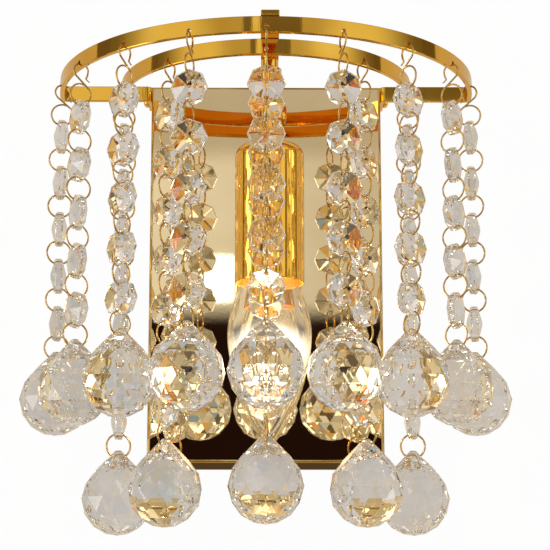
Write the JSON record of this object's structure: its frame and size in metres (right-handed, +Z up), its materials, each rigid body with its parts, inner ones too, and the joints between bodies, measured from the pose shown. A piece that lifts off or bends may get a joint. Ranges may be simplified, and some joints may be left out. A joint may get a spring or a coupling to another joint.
{
  "type": "crystal wall sconce",
  "caption": "Wall light: two half rings of gilt strip with hanging strands of cut crystal octagons and balls round a down-facing candle lamp.",
  "frame": {"origin": "middle of the two wall slots, on the wall", "axes": "+Y into the wall, -Y to the front of the light, +X to the viewer's right, +Z up"},
  "size_m": [0.2046, 0.1247, 0.2022],
  "materials": {
    "gilt": "mirror polished gold plate",
    "wire": "polished gold wire",
    "crystal": "facet-cut clear crystal",
    "bulb_glass": "clear lit candle bulb",
    "cap_metal": "bright",
    "filament": "glowing",
    "holder_plastic": "matte",
    "contact_brass": "plain",
    "terminal_plastic": "matte",
    "zinc": "zinc plated"
  },
  "bodies": {
    "sconce": {"backplate": "gilt", "wall_bracket": "zinc", "left_back_bar": "gilt", "right_back_bar": "gilt", "side_screws": "gilt", "outer_ring": "gilt", "inner_ring": "gilt", "centre_arm": "gilt", "arm_fixings": "gilt", "hanger_tube": "gilt", "lamp_arm": "gilt", "candle_sleeve": "gilt", "lamp_holder": "holder_plastic", "holder_contacts": "contact_brass", "terminal_block": "terminal_plastic"},
    "bulb": {"bulb_cap": "cap_metal", "bulb_glass": "bulb_glass", "bulb_filament": "filament"},
    "outer_strand_1": {"outer_strand_1_links": "wire", "outer_strand_1_octagons": "crystal", "outer_strand_1_ball": "crystal"},
    "outer_strand_2": {"outer_strand_2_links": "wire", "outer_strand_2_octagons": "crystal", "outer_strand_2_ball": "crystal"},
    "outer_strand_3": {"outer_strand_3_links": "wire", "outer_strand_3_octagons": "crystal", "outer_strand_3_ball": "crystal"},
    "outer_strand_4": {"outer_strand_4_links": "wire", "outer_strand_4_octagons": "crystal", "outer_strand_4_ball": "crystal"},
    "outer_strand_5": {"outer_strand_5_links": "wire", "outer_strand_5_octagons": "crystal", "outer_strand_5_ball": "crystal"},
    "outer_strand_6": {"outer_strand_6_links": "wire", "outer_strand_6_octagons": "crystal", "outer_strand_6_ball": "crystal"},
    "outer_strand_7": {"outer_strand_7_links": "wire", "outer_strand_7_octagons": "crystal", "outer_strand_7_ball": "crystal"},
    "outer_strand_8": {"outer_strand_8_links": "wire", "outer_strand_8_octagons": "crystal", "outer_strand_8_ball": "crystal"},
    "outer_strand_9": {"outer_strand_9_links": "wire", "outer_strand_9_octagons": "crystal", "outer_strand_9_ball": "crystal"},
    "inner_strand_1": {"inner_strand_1_links": "wire", "inner_strand_1_octagons": "crystal", "inner_strand_1_ball": "crystal"},
    "inner_strand_2": {"inner_strand_2_links": "wire", "inner_strand_2_octagons": "crystal", "inner_strand_2_ball": "crystal"},
    "inner_strand_3": {"inner_strand_3_links": "wire", "inner_strand_3_octagons": "crystal", "inner_strand_3_ball": "crystal"},
    "inner_strand_4": {"inner_strand_4_links": "wire", "inner_strand_4_octagons": "crystal", "inner_strand_4_ball": "crystal"},
    "inner_strand_5": {"inner_strand_5_links": "wire", "inner_strand_5_octagons": "crystal", "inner_strand_5_ball": "crystal"}
  },
  "joints": [
    {"name": "outer_strand_1_swing", "type": "hinge", "parent": "sconce", "child": "outer_strand_1", "pos_m": [-0.08765, -0.03646, 0.0072], "axis": [-0.1736, 0.9848, 0], "range_deg": [-0.7, 45]},
    {"name": "outer_strand_2_swing", "type": "hinge", "parent": "sconce", "child": "outer_strand_2", "pos_m": [-0.07708, -0.0655, 0.0072], "axis": [-0.5, 0.866, 0], "range_deg": [-0.7, 45]},
    {"name": "outer_strand_3_swing", "type": "hinge", "parent": "sconce", "child": "outer_strand_3", "pos_m": [-0.05721, -0.08918, 0.0072], "axis": [-0.766, 0.6428, 0], "range_deg": [-0.7, 45]},
    {"name": "outer_strand_4_swing", "type": "hinge", "parent": "sconce", "child": "outer_strand_4", "pos_m": [-0.03044, -0.10463, 0.0072], "axis": [-0.9397, 0.342, 0], "range_deg": [-0.7, 45]},
    {"name": "outer_strand_5_swing", "type": "hinge", "parent": "sconce", "child": "outer_strand_5", "pos_m": [0, -0.11, 0.0072], "axis": [-1, 0, 0], "range_deg": [-0.7, 45]},
    {"name": "outer_strand_6_swing", "type": "hinge", "parent": "sconce", "child": "outer_strand_6", "pos_m": [0.03044, -0.10463, 0.0072], "axis": [-0.9397, -0.342, 0], "range_deg": [-0.7, 45]},
    {"name": "outer_strand_7_swing", "type": "hinge", "parent": "sconce", "child": "outer_strand_7", "pos_m": [0.05721, -0.08918, 0.0072], "axis": [-0.766, -0.6428, 0], "range_deg": [-0.7, 45]},
    {"name": "outer_strand_8_swing", "type": "hinge", "parent": "sconce", "child": "outer_strand_8", "pos_m": [0.07708, -0.0655, 0.0072], "axis": [-0.5, -0.866, 0], "range_deg": [-0.7, 45]},
    {"name": "outer_strand_9_swing", "type": "hinge", "parent": "sconce", "child": "outer_strand_9", "pos_m": [0.08765, -0.03646, 0.0072], "axis": [-0.1736, -0.9848, 0], "range_deg": [-0.7, 45]},
    {"name": "inner_strand_1_swing", "type": "hinge", "parent": "sconce", "child": "inner_strand_1", "pos_m": [-0.06135, -0.03182, 0.0072], "axis": [-0.1736, 0.9848, 0], "range_deg": [-2, 1.6]},
    {"name": "inner_strand_2_swing", "type": "hinge", "parent": "sconce", "child": "inner_strand_2", "pos_m": [-0.04005, -0.06872, 0.0072], "axis": [-0.766, 0.6428, 0], "range_deg": [-4, 1.6]},
    {"name": "inner_strand_3_swing", "type": "hinge", "parent": "sconce", "child": "inner_strand_3", "pos_m": [0, -0.0833, 0.0072], "axis": [-1, 0, 0], "range_deg": [-1.2, 1.6]},
    {"name": "inner_strand_4_swing", "type": "hinge", "parent": "sconce", "child": "inner_strand_4", "pos_m": [0.04005, -0.06872, 0.0072], "axis": [-0.766, -0.6428, 0], "range_deg": [-4, 1.6]},
    {"name": "inner_strand_5_swing", "type": "hinge", "parent": "sconce", "child": "inner_strand_5", "pos_m": [0.06135, -0.03182, 0.0072], "axis": [-0.1736, -0.9848, 0], "range_deg": [-2, 1.6]},
    {"name": "bulb_withdraw", "type": "slide", "parent": "sconce", "child": "bulb", "axis": [0, 0, -1], "range_m": [0, 0.028]}
  ]
}
